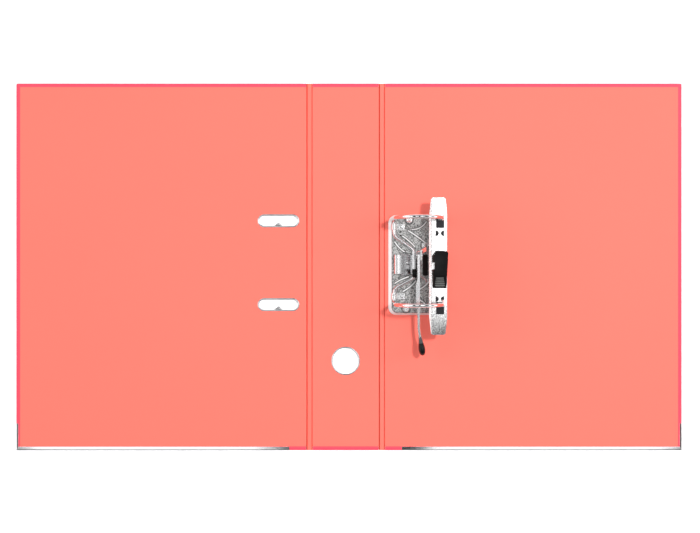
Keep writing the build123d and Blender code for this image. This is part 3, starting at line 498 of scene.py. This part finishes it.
def catch_tongue(x_mid, y_foot):
    """Small pressed tongue: wide and domed at its foot, narrow and bent down at its tip."""
    rows, columns, thick, reach = 10, 12, 0.45 * MM, 3.3 * MM
    foot_half, tip_half = 4.6, 0.8
    sink, swell, droop = 0.35 * MM, 0.9 * MM, 0.9 * MM
    rings = []
    for row in range(rows + 1):
        v = row / rows
        half = foot_half * MM + (tip_half - foot_half) * MM * v ** 0.85
        top, bottom = [], []
        for column in range(columns + 1):
            u = 2 * column / columns - 1
            arch = swell * math.sin(math.pi * min(1, v * 1.1)) * (1 - u * u)
            z = FACE_Z - sink + arch - droop * v * v
            top.append((x_mid + u * half, y_foot + v * reach, z))
            bottom.append((x_mid + u * half, y_foot + v * reach, z - thick))
        rings.append(top + bottom[::-1])
    return skin_rings(rings)


SLOT_FLANGE = 1.8 * MM
RING_FLANGE = 1.5 * MM
ROLL_HEIGHT = 0.7 * MM


def slot_eyelet(node):
    low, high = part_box(node)
    centre = ((low.x + high.x) / 2, (low.y + high.y) / 2)
    length, width = high.x - low.x - 2 * SLOT_FLANGE, high.y - low.y - 2 * SLOT_FLANGE
    rim = rolled_eyelet(centre, length, width, SLOT_FLANGE, ROLL_HEIGHT)
    tongue = catch_tongue(centre[0], centre[1] - width / 2 - 0.2 * MM)
    stand_for(add_mesh(node + "_rolled", *merged(rim, tongue), materials["rail"]), node)


slot_eyelet("slot_eyelet_upper")
slot_eyelet("slot_eyelet_lower")
ring_low, ring_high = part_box("finger_ring")
ring_centre = ((ring_low.x + ring_high.x) / 2, (ring_low.y + ring_high.y) / 2)
ring_bore = ring_high.x - ring_low.x - 2 * RING_FLANGE
ring_form = rolled_eyelet(ring_centre, ring_bore, ring_bore, RING_FLANGE, ROLL_HEIGHT, arc_steps=48)
stand_for(add_mesh("finger_ring_rolled", *ring_form, materials["rail"]), "finger_ring")


# ---------------------------------------------------------------- edge rails
RAIL_WALL = 0.3 * MM
RAIL_FOLD_R = 1.0 * MM
BOTTOM_LEG = 3.7 * MM
SIDE_LEG = 2.2 * MM


def rail_section(leg, height):
    """Folded channel as (distance inwards from its outer face, height) points."""
    points = [(leg, height - RAIL_WALL), (leg, height - 0.08 * MM), (leg - 0.08 * MM, height)]
    for centre_z, first in ((height - RAIL_FOLD_R, 90), (RAIL_FOLD_R, 180)):
        for step in range(9):
            turn = math.radians(first + 90 * step / 8)
            inward = RAIL_FOLD_R + RAIL_FOLD_R * math.cos(turn)
            points.append((inward, centre_z + RAIL_FOLD_R * math.sin(turn)))
    points += [(leg, 0), (leg, RAIL_WALL), (RAIL_WALL, RAIL_WALL), (RAIL_WALL, height - RAIL_WALL)]
    return points


def edge_rail(node):
    """Bottom run and short upright of one rail, each with its own leg, joined along a mitre."""
    low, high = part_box(node)
    side = 1 if high.x > 0 else -1
    x_outer, x_stop = (high.x, low.x) if side > 0 else (low.x, high.x)
    bottom, upright = [], []
    for share in (0, 0.25, 0.5, 0.75, 1):
        ring = []
        for inward, z in rail_section(BOTTOM_LEG, high.z):
            mitre_x = x_outer - side * inward * SIDE_LEG / BOTTOM_LEG
            ring.append((x_stop + (mitre_x - x_stop) * share, low.y + inward, z))
        bottom.append(ring)
        ring = []
        for inward, z in rail_section(SIDE_LEG, high.z):
            mitre_y = low.y + inward * BOTTOM_LEG / SIDE_LEG
            ring.append((x_outer - side * inward, mitre_y + (high.y - mitre_y) * share, z))
        upright.append(ring)
    form = merged(skin_rings(bottom), skin_rings(upright))
    stand_for(add_mesh(node + "_folded", *form, materials["rail"]), node)


edge_rail("front_edge_rail")
edge_rail("back_edge_rail")


# ---------------------------------------------------------------- lever tip and thumb pad
def oval_ring(centre, along, wide, tall, points=36, squareness=2.4):
    """Superellipse section standing across a level direction."""
    across = Vector((-along.y, along.x, 0))
    ring = []
    for step in range(points):
        turn = 2 * math.pi * step / points
        c, s = math.cos(turn), math.sin(turn)
        u = math.copysign(abs(c) ** (2 / squareness), c) * wide / 2
        v = math.copysign(abs(s) ** (2 / squareness), s) * tall / 2
        ring.append(tuple(centre + across * u + Vector((0, 0, v))))
    return ring


def lever_tip():
    """Dipped grip: a slim neck on the arm, then a glossy drop that ends round."""
    low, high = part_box("lever_tip")
    lean = math.radians(9)
    along = Vector((math.sin(lean), -math.cos(lean), 0))
    length = high.y - low.y
    start = Vector(((low.x + high.x) / 2 - length / 2 * math.tan(lean), high.y, (low.z + high.z) / 2))
    wide, tall = 6.3 * MM, high.z - low.z
    neck_end, belly = 0.36, 0.68
    rings = []
    steps = 40
    for step in range(steps + 1):
        t = step / steps * 0.998  # stops short of the very tip, where the section would close up
        if t < belly:
            size = 0.5 + 0.5 * smoothstep(t / belly)
        else:
            size = math.sqrt(max(0.0, 1 - ((t - belly) / (1 - belly)) ** 2))
        ring_tall = tall * (0.35 + 0.65 * size) * min(1, size * 1.3)
        rings.append(oval_ring(start + along * (length * t), along, wide * size, ring_tall))
    cut = round(neck_end * steps)
    drop = add_mesh("lever_tip_drop", *skin_rings(rings[cut:]), materials["tip_plastic"])
    stand_for(drop, "lever_tip")
    # the neck's paler coating is a painted sheen
    neck = add_mesh("lever_tip_neck", *skin_rings(rings[: cut + 1]), materials["tip_neck"])
    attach(neck, "lever")
    sharpen(neck, 40)


lever_tip()


def strip_of(profile, thickness, y0, y1):
    """Closed sheet that follows (x, z) profile points and spans two Y values."""
    rings = []
    for index, (x, z) in enumerate(profile):
        before, after = profile[max(0, index - 1)], profile[min(len(profile) - 1, index + 1)]
        along = Vector((after[0] - before[0], 0, after[1] - before[1])).normalized()
        inner = Vector((x, 0, z)) - Vector((-along.z, 0, along.x)) * thickness
        rings.append([(x, y0, z), (x, y1, z), (inner.x, y1, inner.z), (inner.x, y0, inner.z)])
    return skin_rings(rings)


def leaf_spring():
    """Hairpin leaf: flat lower leg, tight curl, and an upper leg that bows down towards the wire's crank."""
    low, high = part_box("leaf_spring")
    plate_top = low.z
    bend_x, bend_r, t = low.x + 3.2 * MM, 3.2 * MM, 0.6 * MM
    top_z = plate_top + 2 * bend_r - 0.05 * MM
    end_x, drop, bow = high.x - 0.1 * MM, 4.9 * MM, 1.3
    profile = []
    for step in range(13):
        share = step / 12
        x = end_x + (bend_x - end_x) * share
        profile.append((x, top_z - drop * (1 - share) ** bow))
    for step in range(1, 13):
        turn = math.radians(90 + 15 * step)
        profile.append((bend_x + bend_r * math.cos(turn), plate_top + bend_r + bend_r * math.sin(turn)))
    profile.append((bend_x + 8.6 * MM, plate_top))
    forms = [strip_of(profile, -t, low.y, high.y)]
    # flanges flared down and outwards along the upper leg
    for side, y in ((1, high.y), (-1, low.y)):
        rings = []
        for step in range(9):
            share = step / 8
            x = bend_x + 3.5 * MM + (end_x - 2.5 * MM - bend_x - 3.5 * MM) * share
            z = top_z - drop * ((x - bend_x) / (end_x - bend_x)) ** bow
            flare = (0.35 + 0.65 * math.sin(math.pi * min(1, 0.15 + share * 0.85))) * 2.2 * MM
            fall = flare * 1.07
            rings.append([
                (x, y - side * 0.3 * MM, z),
                (x, y + side * flare, z - fall),
                (x, y + side * (flare - 0.5 * MM), z - fall - 0.2 * MM),
                (x, y - side * 0.5 * MM, z - 0.55 * MM),
            ])
        forms.append(skin_rings(rings))
    # pressed dimple near the free end
    dimple_x, dimple_y = end_x - 4.2 * MM, (low.y + high.y) / 2 + 1.2 * MM
    dimple_r, dimple_rise, dimple_sink = 2.0 * MM, 0.75 * MM, 0.2 * MM
    reach = (dimple_x - bend_x) / (end_x - bend_x)
    lean = -math.atan(bow * drop / (end_x - bend_x) * reach ** (bow - 1))
    z_mid = top_z - drop * reach ** bow
    rings = []
    for step in range(8):
        turn = math.pi / 2 * step / 7
        radius, lift = dimple_r * math.cos(turn) + 0.05 * MM, dimple_rise * math.sin(turn) - dimple_sink
        ring = []
        for k in range(28):
            a = 2 * math.pi * k / 28
            u, v = radius * math.cos(a), radius * math.sin(a)
            ring.append((dimple_x + u * math.cos(lean) - lift * math.sin(lean), dimple_y + v,
                         z_mid + u * math.sin(lean) + lift * math.cos(lean)))
        rings.append(ring)
    forms.append(skin_rings(rings))
    stand_for(add_mesh("leaf_spring_bowed", *merged(*forms), materials["lever_steel"]), "leaf_spring")


leaf_spring()


def slab(corners, offset):
    """Closed plate: four corners in order, and the same corners moved by the offset."""
    verts = [tuple(Vector(c)) for c in corners] + [tuple(Vector(c) + Vector(offset)) for c in corners]
    faces = [(0, 1, 2, 3), (4, 5, 6, 7)] + [(i, (i + 1) % 4, (i + 1) % 4 + 4, i + 4) for i in range(4)]
    return verts, faces


def bracket_flanges():
    """Steep faces bent outwards from the bracket's two wings, which mirror the cover beside them."""
    low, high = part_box("lever_bracket")
    wall, foot_edge = 1.4 * MM, 1.6 * MM
    reach, fall, tip_fall = 3.7 * MM, 4.25 * MM, 0.6 * MM
    x0, x1 = low.x + wall, high.x - foot_edge
    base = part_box("base_plate")[1].z
    forms = []
    # (ridge Y at the wall, ridge Y at the outer end, way outwards, ridge height above the plate)
    for y_wall, y_end, side, rise in ((12.6, 15.2, 1, 13.6), (-9.6, -12.9, -1, 8.5)):
        run = side * reach
        top = base + rise * MM
        near, far = (x0, y_wall * MM, top), (x1, y_end * MM, top - tip_fall)
        corners = [near, far, (far[0], far[1] + run, far[2] - fall), (near[0], near[1] + run, near[2] - fall)]
        forms.append(slab(corners, (0, -side * 0.5 * MM, -0.6 * MM)))
    flanges = add_mesh("lever_bracket_flanges", *merged(*forms), materials["wire"], smooth=False)
    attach(flanges, body_of["lever_bracket"])


bracket_flanges()


def latch_pad():
    """Grey thumb pad let into the latch's lower end: a tapering plate with five rounded ribs."""
    low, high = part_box("latch_lever")
    y0 = low.y + 0.9 * MM
    length, x_mid = 9.6 * MM, (low.x + high.x) / 2 - 0.75 * MM
    foot_half, narrowing = 4.9, 1.5
    depth, edge_drop, chamfer = 1.2 * MM, 0.15 * MM, 0.2 * MM
    first_rib, rib_pitch, rib_half, rib_rise = 1.15, 1.8, 0.45 * MM, 0.5 * MM

    def half_width(y):
        return (foot_half - narrowing * (y - y0) / length) * MM

    def surface(y):
        return high.z - 0.6 * MM - (low.y + 10.5 * MM - y) * 0.087

    rings = []
    for step in range(9):
        y = y0 + length * step / 8
        z = surface(y) - 0.05 * MM
        left, right = x_mid - half_width(y), x_mid + half_width(y)
        rings.append([
            (left, y, z - depth),
            (left, y, z - edge_drop),
            (left + chamfer, y, z),
            (right - chamfer, y, z),
            (right, y, z - edge_drop),
            (right, y, z - depth),
        ])
    forms = [skin_rings(rings)]
    for row in range(5):
        y = y0 + (first_rib + rib_pitch * row) * MM
        half = half_width(y) - 0.5 * MM
        z = surface(y) - 0.1 * MM
        rib = []
        for end in range(-6, 7):
            x = end / 6
            size = math.sqrt(max(0.02, 1 - abs(x) ** 6))
            section = []
            for k in range(9):
                a = math.pi * k / 8
                across, up = rib_half * size * math.cos(a), rib_rise * size * math.sin(a)
                section.append((x_mid + x * half, y + across, z + up))
            rib.append(section)
        forms.append(skin_rings(rib))
    pad = add_mesh("latch_thumb_pad", *merged(*forms), materials["pad"])
    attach(pad, "latch")
    sharpen(pad, 40)


latch_pad()


# ---------------------------------------------------------------- stage and light
FLOOR_SIZE = 6.0
corners = [(x * FLOOR_SIZE, y * FLOOR_SIZE, -0.2 * MM) for x, y in ((-1, -1), (1, -1), (1, 1), (-1, 1))]
pale = Shader("floor_white")
pale.set(Base_Color=(0.9, 0.9, 0.9, 1), Roughness=0.9)
pale.set(Emission_Color=(1, 1, 1, 1), Emission_Strength=0.2)
floor = add_mesh("floor", corners, [(0, 1, 2, 3)], pale.material, smooth=False)


def softbox(name, location, target, size_x, size_y, radiance):
    """A rectangular light; its power follows from how bright its face should look."""
    light = bpy.data.objects.new(name, bpy.data.lights.new(name, "AREA"))
    light.data.shape = "RECTANGLE"
    light.data.size = size_x
    light.data.size_y = size_y
    light.data.energy = radiance * math.pi * size_x * size_y
    light.location = location
    light.rotation_euler = (Vector(target) - Vector(location)).to_track_quat("-Z", "Y").to_euler()
    bpy.context.scene.collection.objects.link(light)
    return light


CEILING = 1.9


def ceiling_panel(name, x0, x1, y0, y1, radiance):
    """A level panel at ceiling height; flat bright metal below mirrors it, or the dark between panels."""
    centre = ((x0 + x1) / 2, (y0 + y1) / 2)
    return softbox(name, (*centre, CEILING), (*centre, 0), x1 - x0, y1 - y0, radiance)


GLOW = 1.35  # how bright the visible panels look in polished metal
ceiling_panel("ceiling_right", 0.135, 1.25, -0.12, 0.90, 1.5 * GLOW)
ceiling_panel("ceiling_left", -1.05, -0.42, -0.12, 0.90, GLOW)
ceiling_panel("ceiling_left_upper", -0.42, -0.10, 0.085, 0.90, GLOW)
ceiling_panel("ceiling_left_lower", -0.42, -0.10, -0.12, -0.065, GLOW)
ceiling_panel("ceiling_front_right", 0.20, 0.835, -0.70, -0.30, GLOW)
ceiling_panel("ceiling_front_left", -0.835, -0.20, -0.70, -0.30, GLOW)
softbox("card_left", (-2.2, 0.0, 0.5), (0, 0, 0.05), 2.0, 0.7, 1.2)
softbox("card_left_high", (-1.9, 0.0, 1.35), (0, 0, 0.05), 1.6, 0.8, 1.3)
softbox("card_right", (2.2, 0.0, 0.9), (0, 0, 0.05), 2.0, 0.7, 1.2)
# keys that light the covers but stay out of the metal's reflections
near_top = softbox("near_top", (0.40, 0.22, 1.5), (0.06, 0, 0), 0.10, 0.10, 580)
key_left = softbox("key_left", (-1.55, 0.3, 1.25), (0, 0, 0), 0.75, 1.2, 4.1)
key_right = softbox("key_right", (1.55, 0.4, 1.25), (0, 0, 0), 0.75, 1.2, 4.1)
key_right.data.color = (0.96, 0.99, 1.06)
for light in (near_top, key_left, key_right):
    light.visible_glossy = False

# backdrop: bright low down for the metal's sides, dark overhead
world = bpy.data.worlds.new("studio")
world.use_nodes = True
backdrop = world.node_tree.nodes["Background"]
backdrop.inputs["Color"].default_value = (0.8, 0.8, 0.8, 1)
toward = world.node_tree.nodes.new("ShaderNodeTexCoord")
split = world.node_tree.nodes.new("ShaderNodeSeparateXYZ")
fade = world.node_tree.nodes.new("ShaderNodeMapRange")
for key, value in (("From Min", 0.55), ("From Max", 0.78), ("To Min", 0.5), ("To Max", 0.06)):
    fade.inputs[key].default_value = value
world.node_tree.links.new(toward.outputs["Generated"], split.inputs[0])
world.node_tree.links.new(split.outputs["Z"], fade.inputs["Value"])
world.node_tree.links.new(fade.outputs["Result"], backdrop.inputs["Strength"])
bpy.context.scene.world = world
bpy.context.scene.view_settings.view_transform = "Standard"
bpy.context.scene.view_settings.look = "None"
